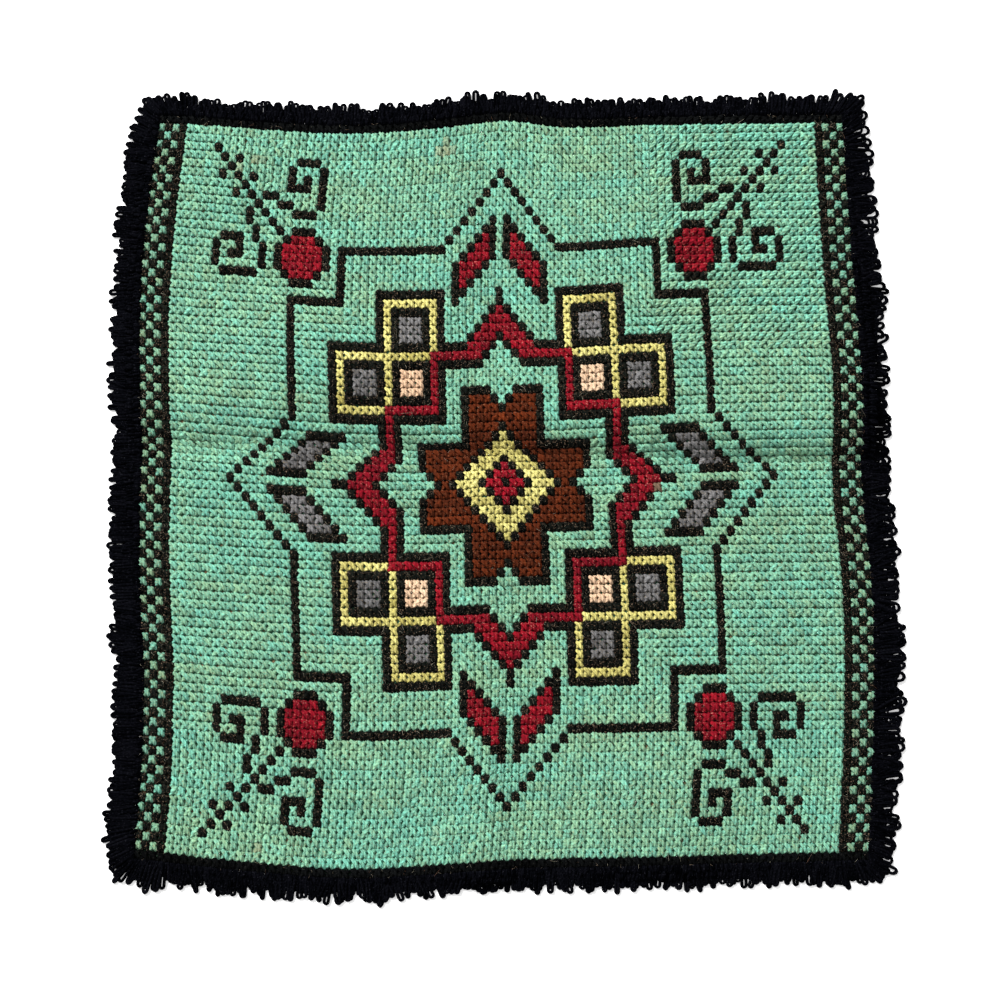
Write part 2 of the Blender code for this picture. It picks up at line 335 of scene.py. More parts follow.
def lift(x, y):
    """Height of the cloth's underside above the table."""
    across = y - along_table(FOLD_LINE, x)
    upper = along_table(ABOVE_HEIGHT, x) * crease(across, ABOVE_RISE)
    lower = along_table(BELOW_HEIGHT, x) * crease(across, BELOW_RISE)
    down = x - DOWN_FOLD_X - DOWN_FOLD_SWAY * np.sin(y * SWAY_RATE)
    above = 1 / (1 + np.exp(-across / SIDE_CHANGE))
    rest = above * VALLEY_HEIGHT * crease(down, VALLEY_RISE)
    rest += (1 - above) * RIDGE_HEIGHT * bump(down, 0, RIDGE_WIDTH)
    for middle_x, middle_y, half_long, half_wide, turn, high in SWELLS:
        c, s = math.cos(math.radians(turn)), math.sin(math.radians(turn))
        along = (x - middle_x) * c + (y - middle_y) * s
        beside = (y - middle_y) * c - (x - middle_x) * s
        rest += high * bump(along, 0, half_long) * bump(beside, 0, half_wide)
    height = np.where(across > 0, upper, lower) + (1 - bump(across, 0, FOLD_BLEND)) * rest
    return np.maximum(0.0, height - LIFT_LOST)


def model_shift():
    """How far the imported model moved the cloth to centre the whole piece."""
    share = np.linspace(0, 1, 400)
    low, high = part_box("stitched_cloth")
    left, right = along_table(LEFT_EDGE, share).min(), along_table(RIGHT_EDGE, share).max()
    bottom, top = along_table(BOTTOM_EDGE, share).min(), along_table(TOP_EDGE, share).max()
    return np.array([(low.x + high.x - left - right) / 2, (low.y + high.y - bottom - top) / 2, 0])


SHIFT = model_shift()


def place(column, row):
    """Points of the cloth's underside at cell corners, counted right and down from the ground's
    top left corner."""
    column, row = np.broadcast_arrays(np.asarray(column, float), np.asarray(row, float))
    across = (column + BORDER_COLUMNS) / COLUMNS
    up = 1 - (row + END_ROWS) / ROWS
    for middle, wide, foot, more, power in COLUMN_SHIFTS:
        across = across + (foot + more * up**power) * bump(column, middle, wide)
    from_fold = row - FOLD_ROW
    pull = FOLD_PULL * np.tanh(from_fold / FOLD_TURN_ROWS) * np.exp(-np.abs(from_fold) / FOLD_FADE_ROWS)
    up = up + pull + FOLD_LIFT * bump(from_fold, 0, FOLD_LIFT_ROWS)
    x = along_table(LEFT_EDGE, up) * (1 - across) + along_table(RIGHT_EDGE, up) * across
    x += LEAN * bump(row, *LEAN_PLACE) * bump(across, *LEAN_SHARES)
    bottom = BOTTOM_EDGE[0][1] * (1 - across) + BOTTOM_EDGE[-1][1] * across
    top = TOP_EDGE[0][1] * (1 - across) + TOP_EDGE[-1][1] * across
    y = bottom * (1 - up) + top * up
    y += (along_table(TOP_EDGE, across) - top) * np.clip(up, 0, 1) ** TOP_WAVE_REACH
    y += (along_table(BOTTOM_EDGE, across) - bottom) * np.clip(1 - up, 0, 1) ** BOTTOM_WAVE_REACH
    y -= along_table(ROW_SAG, np.clip(up, 0, 1)) * bump(column, *SAG_PLACE)
    y += LEFT_ARCH * 4 * up * (1 - up) * np.exp(-across / LEFT_ARCH_FADE)
    return np.stack([x, y, lift(x, y)], axis=-1) + SHIFT


# Chart of the crosses. The star medallion, its frame and the corner sprigs repeat in all four
# quarters and about the diagonals, so each motif is a rule on the nearer and the farther of a
# cross's distances from the middle column and the middle row, counted in crosses.
SCROLL = (  # nearer distance from, to, farther distance from, to
    (30, 31, 33, 33), (28, 29, 32, 32), (25, 27, 31, 31), (24, 24, 32, 36),
    (25, 27, 37, 37), (28, 28, 34, 36), (26, 27, 34, 34), (26, 26, 35, 35),
)


def diamond(near, far):
    ring = near + far
    if ring in (0, 3, 7):
        return "black"
    if ring < 3:
        return "red"
    return "yellow" if ring < 7 else None


def star(near, far):
    outline = (far == 11 and 2 <= near <= 5) or (near == 5 and 5 <= far <= 11)
    if outline or (near, far) in ((1, 10), (0, 9)):
        return "black"
    notch = (far == 10 and near < 2) or (far == 9 and near < 1)
    return "brown" if near <= 4 and far <= 10 and not notch else None


def zigzag(near, far):
    ring = near + far
    if (far == 15 and 3 <= near <= 9) or (near == 9 and 9 <= far <= 15):
        return "red"
    if far >= 15 and 18 <= ring <= 20:
        return "red"
    point = (ring == 21 and far >= 16) or (ring == 17 and far >= 14) or (near, far) == (0, 22)
    level = (far == 16 and 5 <= near <= 8) or (far == 14 and 3 <= near <= 8)
    return "black" if point or level or (near == 8 and 8 <= far <= 14) else None


def squares(near, far):
    outer = max(abs(near - 12), abs(far - 18))
    inner = max(abs(near - 12), abs(far - 12))
    if 3 in (outer, inner):
        return "yellow"
    if outer <= 1:
        return "grey"
    if inner <= 1:
        return "peach"
    return "black" if min(outer, inner) <= 4 else None


def leaves(near, far, upright):
    ring = near + far
    if not (1 <= near <= 6 and 27 <= ring <= 31):
        return None
    if near in (1, 6) or ring in (27, 31):
        return "black"
    return "red" if upright else "grey"


def frame_line(near, far):
    slope = near + far == 35 and near <= 8
    level = far == 27 and 8 <= near <= 21
    return "black" if slope or level or (near == 21 and 21 <= far <= 27) else None


def sprig(near, far):
    short, long = sorted((abs(near - 26), abs(far - 26)))
    if long <= 2:
        return "black" if short == 2 else "red"
    ball_edge = long == 3 and short <= 1
    stem = near == far and 29 <= far <= 38
    leaflet = (near, far) in ((33, 35), (35, 37))
    scroll = any(a <= near <= b and c <= far <= d for a, b, c, d in SCROLL)
    return "black" if ball_edge or stem or leaflet or scroll else None


def wool_at(column, row):
    """Name of the wool of one cross."""
    if not 0 <= row < GROUND_ROWS:
        return "black"
    outside = max(-column, column - GROUND_COLUMNS + 1)
    if outside == 1:
        return "black"
    if outside > 1:
        return "mint" if (row + outside) % 2 == 0 else "black"
    across, up = abs(column - MIDDLE_COLUMN), abs(row - MIDDLE_ROW)
    near, far = min(across, up), max(across, up)
    motifs = (
        diamond(near, far),
        star(near, far),
        zigzag(near, far),
        squares(near, far),
        leaves(near, far, up > across),
        frame_line(near, far),
        sprig(near, far),
    )
    return next((wool for wool in motifs if wool), "mint")


def ribbed_down(columns, rows):
    """1 where the crosses close up into upright ribs, 0 where they close up into level ones."""
    across, up = np.abs(columns - MIDDLE_COLUMN), np.abs(rows - MIDDLE_ROW)
    level_corner = (columns > MIDDLE_COLUMN + LEVEL_FROM) & (rows < MIDDLE_ROW)
    return (((up > across) & ~level_corner) | (rows > LAST_LEVEL_ROW)).astype(float)


def slant_of(columns, rows):
    """Slant of the upper legs: -1 where they fall to the right, 1 where they rise."""
    turned_corner = (columns > TURNED_CORNER[0]) & (rows < TURNED_CORNER[1])
    return np.where(turned_corner, 1.0, -1.0)


# Yarn shapes. A template has points (along, sideways, up), faces, and a UV place for each point.
def tube(line, half_wide, half_thick, section):
    """Closed piece of yarn along a line of points, drawn to a point at both ends."""
    line = np.asarray(line, float)
    stations, sides = len(line), len(section)
    run = np.gradient(line, axis=0)
    run /= np.linalg.norm(run, axis=1)[:, None]
    side = np.stack([-run[:, 1], run[:, 0], np.zeros(stations)], axis=1)
    side /= np.linalg.norm(side, axis=1)[:, None]
    up = np.cross(run, side)
    section = np.array(section)
    rings = line[1:-1, None] + side[1:-1, None] * (section[:, :1] * half_wide[1:-1, None, None])
    rings += up[1:-1, None] * (section[:, 1:] * half_thick[1:-1, None, None])
    points = np.concatenate([line[:1], rings.reshape(-1, 3), line[-1:]])
    last = len(points) - 1
    faces = []
    for k in range(sides):
        j = (k + 1) % sides
        faces.append((0, 1 + j, 1 + k))
        for ring in range(stations - 3):
            a = 1 + ring * sides
            faces.append((a + k, a + j, a + sides + j, a + sides + k))
        a = 1 + (stations - 3) * sides
        faces.append((a + k, a + j, last))
    distance = np.concatenate([[0], np.cumsum(np.linalg.norm(np.diff(line, axis=0), axis=1))])
    uv = [(0.0, 0.5)]
    uv += [(distance[r], k / sides) for r in range(1, stations - 1) for k in range(sides)]
    uv.append((distance[-1], 0.5))
    return points, faces, np.array(uv)


def stamped(template, origins, along, sideways, up):
    """Copies of a template, one for each origin and its three directions."""
    points, faces, uv = template
    copies = origins[:, None] + points[None, :, :1] * along[:, None]
    copies += points[None, :, 1:2] * sideways[:, None] + points[None, :, 2:] * up[:, None]
    return copies, faces, uv


def joined_mesh(name, batches):
    """One mesh from batches of (copies, faces, uv, {attribute: value for each point})."""
    points, corners, sizes, uvs = [], [], [], []
    values = {}
    start = 0
    for copies, faces, uv, attributes in batches:
        count, each = copies.shape[:2]
        flat = np.concatenate([np.array(face) for face in faces])
        offsets = start + np.arange(count) * each
        corners.append((offsets[:, None] + flat[None]).ravel())
        sizes.append(np.tile([len(face) for face in faces], count))
        uvs.append(np.tile(uv[flat], (count, 1)))
        points.append(copies.reshape(-1, 3))
        for key, value in attributes.items():
            values.setdefault(key, []).append(np.broadcast_to(value, (count, each)).ravel())
        start += count * each
    points, corners = np.concatenate(points), np.concatenate(corners)
    sizes, uvs = np.concatenate(sizes), np.concatenate(uvs)
    mesh = bpy.data.meshes.new(name)
    mesh.vertices.add(len(points))
    mesh.vertices.foreach_set("co", points.astype(np.float32).ravel())
    mesh.loops.add(len(corners))
    mesh.loops.foreach_set("vertex_index", corners.astype(np.int32))
    mesh.polygons.add(len(sizes))
    starts = np.cumsum(sizes) - sizes
    mesh.polygons.foreach_set("loop_start", starts.astype(np.int32))
    mesh.update(calc_edges=True)
    mesh.uv_layers.new(name="yarn").data.foreach_set("uv", uvs.astype(np.float32).ravel())
    for key, parts in values.items():
        layer = mesh.attributes.new(key, "FLOAT", "POINT")
        layer.data.foreach_set("value", np.concatenate(parts).astype(np.float32))
    mesh.shade_smooth()
    obj = bpy.data.objects.new(name, mesh)
    bpy.context.scene.collection.objects.link(obj)
    return obj


def unit(vectors):
    return vectors / np.linalg.norm(vectors, axis=-1, keepdims=True)


def leg(stations, section, half_wide, half_thick, foot, crown, bow):
    """One leg of a cross. Its length is 1, and it rises from its foot at both ends to its crown."""
    t = np.array(stations)
    arch = np.sin(np.pi * t)
    line = np.stack([t * LEG_LENGTH, bow * arch, foot + (crown - foot) * arch**0.6], axis=1)
    fat = LEG_ENDS + (1 - LEG_ENDS) * arch**0.8
    points, faces, uv = tube(line, half_wide * fat, half_thick * fat, section)
    points[:, 0] = points[:, 0] / LEG_LENGTH - 0.5
    return points, faces, uv


def wool_leg(kind, wool):
    """The over leg, the under leg or the back bar of a cross, in the wool's own thickness."""
    stations, section, wide, thick, *heights_and_bow = LEGS[kind]
    half_wide, half_thick = wide * wool.leg_wide / 2, thick * wool.leg_thick / 2
    return leg(stations, section, half_wide, half_thick, *heights_and_bow)


def lit_depth(template, sides, groove=None):
    """How far each point of a yarn is out of the painted shade: 0 at its roots, 1 on its crown."""
    height = template[0][:, 2]
    depth = np.clip((height - height.min()) / (height.max() - height.min()) * 1.2, 0, 1)
    if groove is not None:
        # painted shade: the groove between the over leg's two strands is drawn darker
        depth[1:-1][groove::sides] *= GROOVE_SHADE
    return depth[None]


def noise_grid(rng, across, up, cell):
    """Smooth random field from -1 to 1 over the crosses."""
    coarse = rng.uniform(-1, 1, (int(up / cell) + 3, int(across / cell) + 3))
    x, y = np.meshgrid(np.arange(across) / cell, np.arange(up) / cell)
    i, j = x.astype(int), y.astype(int)
    fx, fy = x - i, y - j
    fx, fy = fx * fx * (3 - 2 * fx), fy * fy * (3 - 2 * fy)
    low = coarse[j, i] * (1 - fx) + coarse[j, i + 1] * fx
    high = coarse[j + 1, i] * (1 - fx) + coarse[j + 1, i + 1] * fx
    return low * (1 - fy) + high * fy


# Materials
class Nodes:
    """Adds shader nodes to one material or group and links them."""

    def __init__(self, tree):
        self.tree = tree

    def put(self, value, target):
        """Sets a socket to a plain value, or links another socket to it."""
        if isinstance(value, (int, float, tuple)):
            target.default_value = value
        else:
            self.tree.links.new(value, target)

    def add(self, kind, values, output=0, **settings):
        """A new node's output, with the node's own settings and the values of its inputs."""
        node = self.tree.nodes.new("ShaderNode" + kind)
        for key, value in settings.items():
            setattr(node, key, value)
        for key, value in values.items():
            self.put(value, node.inputs[key])
        return node.outputs[output]

    def math(self, operation, *values):
        return self.add("Math", dict(enumerate(values)), operation=operation)

    def times(self, first, second):
        return self.math("MULTIPLY", first, second)

    def wave(self, value, count):
        """Sine with this many waves to each 1 of the value."""
        return self.math("SINE", self.times(value, 2 * math.pi * count))

    def mix(self, blend, factor, first, second):
        values = {0: factor, 6: first, 7: second}
        return self.add("Mix", values, 2, data_type="RGBA", blend_type=blend)

    def noise(self, at, scale, detail):
        return self.add("TexNoise", {"Vector": at, "Scale": scale, "Detail": detail}, "Fac")

    def ranged(self, value, span, new_span):
        """A value with one span of it brought to another."""
        return self.add("MapRange", dict(enumerate((value, *span, *new_span))))

    def grey(self, value):
        return self.add("CombineColor", dict.fromkeys(range(3), value))

    def object_place(self):
        return self.add("TexCoord", {}, "Object")

    def map_place(self, name, axis):
        """One of the two places of a UV map."""
        return self.add("SeparateXYZ", {0: self.add("UVMap", {}, uv_map=name)}, axis)

    def attribute(self, name):
        return self.add("Attribute", {}, "Fac", attribute_name=name)

    def relief(self, height, strength, distance, shader):
        """Raises and lowers a shader's surface by a height."""
        values = {"Strength": strength, "Distance": distance, "Height": height}
        self.put(self.add("Bump", values), shader.inputs["Normal"])


def yarn_group():
    """Spun yarn: two dye shades, painted shade at the roots and in the hollows between the twisted
    strands, loose fibres, flecks and stains.
    """
    found = bpy.data.node_groups.get("Spun yarn")
    if found:
        return found
    group = bpy.data.node_groups.new("Spun yarn", "ShaderNodeTree")
    for direction, kind, names in YARN_SOCKETS:
        for name in names:
            group.interface.new_socket(name=name, in_out=direction, socket_type="NodeSocket" + kind)
    inputs = group.nodes.new("NodeGroupInput").outputs
    outputs = group.nodes.new("NodeGroupOutput").inputs
    nodes = Nodes(group)
    at = nodes.object_place()
    turns = nodes.times(nodes.map_place("yarn", 0), inputs["Twist"])
    around = nodes.times(nodes.map_place("yarn", 1), STRANDS)
    strands = nodes.wave(nodes.math("ADD", turns, around), 1)
    fibres = nodes.noise(at, *FIBRE_GRAIN)
    uneven_dye = nodes.ranged(nodes.noise(at, *DYE_GRAIN), MOST_NOISE, (-0.30, 0.30))
    tone = nodes.math("MINIMUM", nodes.math("ADD", inputs["Shade"], uneven_dye), 1.0)
    tone = nodes.math("MAXIMUM", tone, 0.0)
    dye = nodes.mix("MIX", tone, inputs["Dark Dye"], inputs["Light Dye"])
    dye = nodes.mix("MIX", inputs["Stain"], dye, inputs["Fleck"])
    # painted shade: the hollows between the twisted strands are darker and their ridges lighter
    strand_shade = nodes.ranged(strands, (-1, 1), (0.80, 1.10))
    grain = nodes.times(strand_shade, nodes.ranged(fibres, MOST_NOISE, (0.70, 1.25)))
    # painted shade: the roots, where the depth is low, are drawn darker
    rooted = nodes.times(nodes.ranged(inputs["Depth"], (0, 1), (0.48, 1.0)), grain)
    blotch = nodes.ranged(nodes.noise(at, *BLOTCH_GRAIN), MOST_NOISE, (0.78, 1.20))
    shaded = nodes.mix("MULTIPLY", 1.0, dye, nodes.grey(nodes.times(rooted, blotch)))
    over_rarity = nodes.math("SUBTRACT", nodes.noise(at, *FLECK_GRAIN), inputs["Fleck Rarity"])
    flecks = nodes.ranged(over_rarity, (0.0, 0.1), (0, 1))
    sheltered = nodes.ranged(inputs["Depth"], (0.2, 1), (1, 0.35))
    flecks = nodes.times(flecks, nodes.times(sheltered, inputs["Fleck Share"]))
    nodes.put(nodes.mix("MIX", flecks, shaded, inputs["Fleck"]), outputs["Colour"])
    nodes.put(nodes.math("ADD", nodes.times(strands, 0.35), fibres), outputs["Height"])
    return group


def set_values(node, values):
    for key, value in values.items():
        node.inputs[key].default_value = value


def new_material(name, values):
    """A material with these values on its shader, and the shader and nodes to go on with."""
    material = bpy.data.materials.new(name)
    material.use_nodes = True
    shader = material.node_tree.nodes["Principled BSDF"]
    set_values(shader, values)
    return material, shader, Nodes(material.node_tree)


def yarn_material(name, wool, light, dark, twist=420.0, relief=0.5 * MM):
    """Matt wool in two shades of one dye, with the lint that its kind of wool catches; the fringe's
    flecks are painted glints.
    """
    fleck, fleck_share, rarity, sheen, gloss = FINISHES[wool]
    values = {
        "Roughness": 0.9,
        "Specular IOR Level": gloss,
        "Sheen Weight": sheen,
        "Sheen Roughness": 0.5,
        "Sheen Tint": (*light, 1),
    }
    material, shader, nodes = new_material(name, values)
    yarn = nodes.tree.nodes.new("ShaderNodeGroup")
    yarn.node_tree = yarn_group()
    set_values(yarn, {"Light Dye": (*light, 1), "Dark Dye": (*dark, 1), "Fleck": (*fleck, 1)})
    set_values(yarn, {"Fleck Share": fleck_share, "Fleck Rarity": rarity, "Twist": twist})
    for key in ("Shade", "Depth", "Stain"):
        nodes.put(nodes.attribute(key.lower()), yarn.inputs[key])
    nodes.put(yarn.outputs["Colour"], shader.inputs["Base Color"])
    nodes.relief(yarn.outputs["Height"], 0.8, relief, shader)
    return material


def colour(name, description, default):
    return bpy.props.FloatVectorProperty(
        name=name, description=description, default=default, size=3, min=0, max=1, subtype="COLOR"
    )


def length(name, description, default):
    return bpy.props.FloatProperty(
        name=name, description=description, default=default, min=0, precision=5, unit="LENGTH"
    )


def number(name, description, default, **more):
    return bpy.props.FloatProperty(name=name, description=description, default=default, **more)


def whole(name, description, default, least=0):
    return bpy.props.IntProperty(name=name, description=description, default=default, min=least)


def dye_settings():
    """A lighter and a darker colour for each wool."""
    made = {}
    for wool, shades in DYES.items():
        for tone, shade in zip(("light", "dark"), shades):
            name = f"{wool.capitalize()}, {tone.capitalize()}"
            made[f"{wool}_{tone}"] = colour(name, f"The {tone}er shade of the {wool} wool", shade)
    return made


class ClothSettings(bpy.types.PropertyGroup):
    """The canvas that carries the crosses."""

    back_room: length("Back Room", "Height of the yarn bars under the canvas", 0.5 * MM)
    canvas_thick: length("Canvas Thickness", "Thickness of the canvas", 0.6 * MM)
    canvas_tan: colour("Canvas", "Colour of the canvas threads", (0.22, 0.14, 0.07))
    # partly mint wool fluff, partly painted shade and painted green bounce in the gaps between the
    # crosses
    mint_fluff_and_shade: colour("Mint Fluff", "Wool fluff that fills the canvas", (0.05, 0.16, 0.09))


class WoolSettings(bpy.types.PropertyGroup):
    """The wool crosses: their size and dyes."""

    leg_wide: length("Leg Width", "Width of one leg of a cross at its crown", 2.5 * MM)
    leg_thick: length("Leg Thickness", "Thickness of one leg of a cross at its crown", 1.5 * MM)
    seed: whole("Seed", "Seed of the stitcher's unevenness", 7)
    __annotations__.update(dye_settings())


class FringeSettings(bpy.types.PropertyGroup):
    """The whipped heading and the uncut loops."""

    yarn_thick: length("Yarn Thickness", "Thickness of the fringe yarn", 1.75 * MM)
    loop_wide: length("Loop Width", "Width of a loop near its end", 4.4 * MM)
    clump_wide: length("Clump Width", "Edge over which loops gather into one clump", 6.4 * MM)
    loops_a_clump: whole("Loops a Clump", "Loops in one clump of middling width", 8, 2)
    side_reach: length("Side Reach", "How far the fringe reaches at the sides", 15.0 * MM)
    end_reach: length("End Reach", "How far it reaches at the top and bottom", 11.5 * MM)
    corner_reach: length("Corner Reach", "How far it reaches past a corner", 14.5 * MM)
    seed: whole("Seed", "Seed of the loops' unevenness", 11)
    yarn_light: colour("Yarn, Lit", "The lighter blue-black yarn", (0.0030, 0.0031, 0.0046))
    yarn_dark: colour("Yarn", "The blue-black yarn", (0.0006, 0.0007, 0.0011))


class HairSettings(bpy.types.PropertyGroup):
    """Stray fibres that stand off the wool."""

    thick: length("Hair Thickness", "Thickness of one stray fibre", 0.15 * MM)
    long: length("Hair Length", "Length of a stray fibre", 1.8 * MM)
    long_share: number("Long Hairs", "Share of them that are much longer", 0.05, min=0, max=1)
    count: whole("Hairs", "Number of stray fibres", 5000, 1)
    seed: whole("Seed", "Seed of the hairs", 3)
    light: colour("Fibre, Light", "The lightest stray fibres", (0.50, 0.47, 0.36))
    dark: colour("Fibre, Dark", "The darkest stray fibres", (0.130, 0.060, 0.036))


class StageSettings(bpy.types.PropertyGroup):
    """Floor, light and camera."""

    floor: colour("Floor", "Colour of the plain floor", (0.93, 0.93, 0.93))
    floor_glow: number("Floor Glow", "Light of the floor itself, as of a lit sweep", 0.45, min=0)
    key: number("Key Light", "Power of the window light", 430.0, unit="POWER")
    fill: number("Room Light", "Strength of the room's even light", 0.54)
    elevation: number(
        "Camera Elevation", "How steeply the camera looks down", math.radians(82.5),
        subtype="ANGLE", unit="ROTATION",
    )
    distance: length("Camera Distance", "Distance from the camera to its target", 1.0)
    lens: number("Lens", "Focal length in millimetres", 66.8)


def settle(obj, material):
    """Gives a finished piece its material and hands it to the frame."""
    obj.data.materials.append(material)
    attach(obj, BODY)


class STITCHING_OT_canvas(bpy.types.Operator):
    """Lays the woven canvas over the folds, as one thin sheet"""

    bl_idname = "stitching.canvas"
    bl_label = "Canvas"

    def execute(self, context):
        settings = context.scene.panel_cloth
        bpy.ops.object.select_all(action="DESELECT")
        bpy.ops.mesh.primitive_grid_add(x_subdivisions=COLUMNS, y_subdivisions=ROWS, size=1)
        canvas = context.object
        canvas.name = canvas.data.name = "canvas"
        flat = np.zeros(len(canvas.data.vertices) * 3)
        canvas.data.vertices.foreach_get("co", flat)
        flat = flat.reshape(-1, 3)
        column = (flat[:, 0] + 0.5) * COLUMNS - BORDER_COLUMNS
        row = (0.5 - flat[:, 1]) * ROWS - END_ROWS
        laid = place(column, row) + (0, 0, settings.back_room)
        canvas.data.vertices.foreach_set("co", laid.ravel())
        canvas.data.uv_layers[0].name = "weave"
        thick = canvas.modifiers.new("thickness", "SOLIDIFY")
        thick.thickness = settings.canvas_thick
        thick.offset = 1.0
        bpy.ops.object.modifier_apply(modifier=thick.name)
        canvas.data.shade_smooth()
        tint_canvas(canvas.data, column, row)
        settle(canvas, canvas_material(settings))
        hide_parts("stitched_cloth")
        return {"FINISHED"}


def tint_canvas(mesh, column, row):
    """Marks the canvas's corners that dark wool surrounds, so that they take its dark fluff."""
    around = ((0, 0), (-1, 0), (0, -1), (-1, -1))
    dark = ("black", "brown", "red")
    corners = zip(np.rint(column).astype(int), np.rint(row).astype(int))
    fluff = [sum(wool_at(c + right, r + down) in dark for right, down in around) / 4 for c, r in corners]
    layer = mesh.attributes.new("fluff", "FLOAT", "POINT")
    layer.data.foreach_set("value", np.resize(fluff, len(mesh.vertices)).astype(np.float32))


def canvas_material(settings):
    """Plain woven canvas, read from the sheet's UV map."""
    values = {"Roughness": 0.92, "Specular IOR Level": 0.2}
    material, shader, nodes = new_material("canvas_weave", values)
    warp = nodes.wave(nodes.map_place("weave", 0), COLUMNS * THREADS_A_CROSS)
    weave = nodes.times(warp, nodes.wave(nodes.map_place("weave", 1), ROWS * THREADS_A_CROSS))
    at = nodes.object_place()
    slub = nodes.ranged(nodes.noise(at, *SLUB_GRAIN), MOST_NOISE, (0.75, 1.2))
    shade = nodes.times(nodes.ranged(weave, (-1, 1), (0.6, 1.1)), slub)
    tan = nodes.mix("MULTIPLY", 1.0, (*settings.canvas_tan, 1), nodes.grey(shade))
    bare = nodes.ranged(nodes.noise(at, *BARE_GRAIN), BARE_NOISE, (0, 1))
    # away from its bare threads the canvas takes the mint fluff colour: partly wool fluff, partly painted
    # shade and painted green bounce
    tan = nodes.mix("MIX", bare, (*settings.mint_fluff_and_shade, 1), tan)
    fluffy = nodes.mix("MIX", nodes.attribute("fluff"), tan, DARK_FLUFF)
    nodes.put(fluffy, shader.inputs["Base Color"])
    nodes.relief(weave, 1.0, 0.2 * MM, shader)
    return material


class Crosses:
    """Where the crosses stand, and the unevenness of the hand that worked them."""

    def __init__(self, wool, cloth):
        self.rng = np.random.default_rng(wool.seed)
        rows, columns = np.meshgrid(
            np.arange(FIRST_ROW, LAST_ROW), np.arange(FIRST_COLUMN, LAST_COLUMN), indexing="ij"
        )
        dye_lot = PATCH_SHADE * noise_grid(self.rng, COLUMNS, ROWS, PATCH_CROSSES)
        lots = noise_grid(self.rng, COLUMNS, ROWS * LOT_STRETCH, LOT_CROSSES)
        self.dye_lot = (dye_lot + LOT_SHADE * lots[::LOT_STRETCH]).ravel()
        self.tight = noise_grid(self.rng, COLUMNS, ROWS, TIGHT_CROSSES).ravel()
        self.columns, self.rows = columns.ravel(), rows.ravel()
        keys = list(zip(self.columns.tolist(), self.rows.tolist()))
        self.wool = np.array([wool_at(*key) for key in keys])
        inside = (self.columns >= 0) & (self.columns < GROUND_COLUMNS)
        self.in_end_rows = (self.rows < 0) | (self.rows >= GROUND_ROWS)
        self.ground = ((self.wool == "mint") & inside).astype(float)
        middle_column, middle_row = self.columns + 0.5, self.rows + 0.5
        self.middle = place(middle_column, middle_row)
        self.right = place(self.columns + 1, middle_row) - place(self.columns, middle_row)
        self.up = place(middle_column, self.rows) - place(middle_column, self.rows + 1)
        self.normal = unit(np.cross(self.right, self.up))
        self.surface = self.middle + self.normal * (cloth.back_room + cloth.canvas_thick)
        self.ribs = ribbed_down(self.columns, self.rows)
        self.slant = slant_of(self.columns, self.rows)
        self.inside = inside
        self.stain = np.array([STAINS.get(key, 0.0) for key in keys])
        rubbed = ~inside & (self.wool == "mint")
        self.stain += np.where(rubbed, self.rng.uniform(0.0, RUBBED_STAIN, len(inside)), 0)
        self.plump = np.array([PLUMPER.get(name, 1.0) for name in self.wool])
        self.plump[rubbed] = RUBBED_PLUMP
        self.plump[~inside & (self.wool == "black")] = BORDER_BLACK_PLUMP
        self.clean = np.where(rubbed, RUBBED_CLEAN, 1.0)
        self.short = np.where(rubbed, RUBBED_SHORT, 1.0)


def cross_batches(crosses, chosen, wool):
    """Top legs, bottom legs and back bars of the chosen crosses."""
    rng = crosses.rng
    count = int(chosen.sum())

    def picked(values):
        return values[chosen][:, None]

    def varied(middle, spread):
        return rng.normal(middle, spread, (count, 1))

    right, up, normal = crosses.right[chosen], crosses.up[chosen], crosses.normal[chosen]
    ribs, ground, plump = picked(crosses.ribs), picked(crosses.ground), picked(crosses.plump)
    slant, stain = picked(crosses.slant), picked(crosses.stain)
    gap = ground * (RIB_GAP + TIGHT_GAP * picked(crosses.tight))
    across = LEG_REACH + np.where(ribs > 0.5, -gap, RIB_FILL * ground)
    tall = LEG_REACH + np.where(ribs > 0.5, RIB_FILL * ground, -LEVEL_GAP * gap)
    shade = 0.5 + picked(crosses.dye_lot) + varied(0, SHADE_PLAY)
    clean = rng.uniform(*CROSS_CLEAN, (count, 1))
    batches = []
    for kind, sign, sides, groove in (("over", slant, 5, 2), ("under", -slant, 4, None)):
        template = wool_leg(kind, wool)
        along = right * across + up * (tall * sign)
        along += unit(right) * varied(0, LEAN_PLAY)
        along *= picked(crosses.short) * varied(1, LENGTH_PLAY)
        side = unit(np.cross(normal, along)) * (plump * varied(1, WIDTH_PLAY))
        thick = normal * (plump * varied(1, THICK_PLAY))
        jitter = unit(right) * varied(0, PLACE_PLAY)
        jitter += unit(up) * varied(0, PLACE_PLAY)
        jitter += normal * varied(0, HEIGHT_PLAY)
        own = np.clip(shade + varied(0, SHADE_PLAY), 0, 1)
        # depth carries the painted shade of the roots and the groove, darkened at random for each cross
        # and leg
        depth = lit_depth(template, sides, groove) * picked(crosses.clean) * clean
        values = {"shade": own, "stain": stain, "depth": depth * rng.uniform(*LEG_CLEAN, (count, 1))}
        legs = stamped(template, crosses.surface[chosen] + jitter, along, side, thick)
        batches.append((*legs, values))
    back = crosses.middle[chosen] + normal * BAR_ABOVE
    bars = stamped(wool_leg("bar", wool), back, up * BAR_SHARE, -unit(right), normal)
    batches.append((*bars, {"shade": shade, "stain": stain, "depth": 0.8}))
    for copies, *_ in batches:
        copies[..., 2] = np.maximum(copies[..., 2], 0)
    return batches


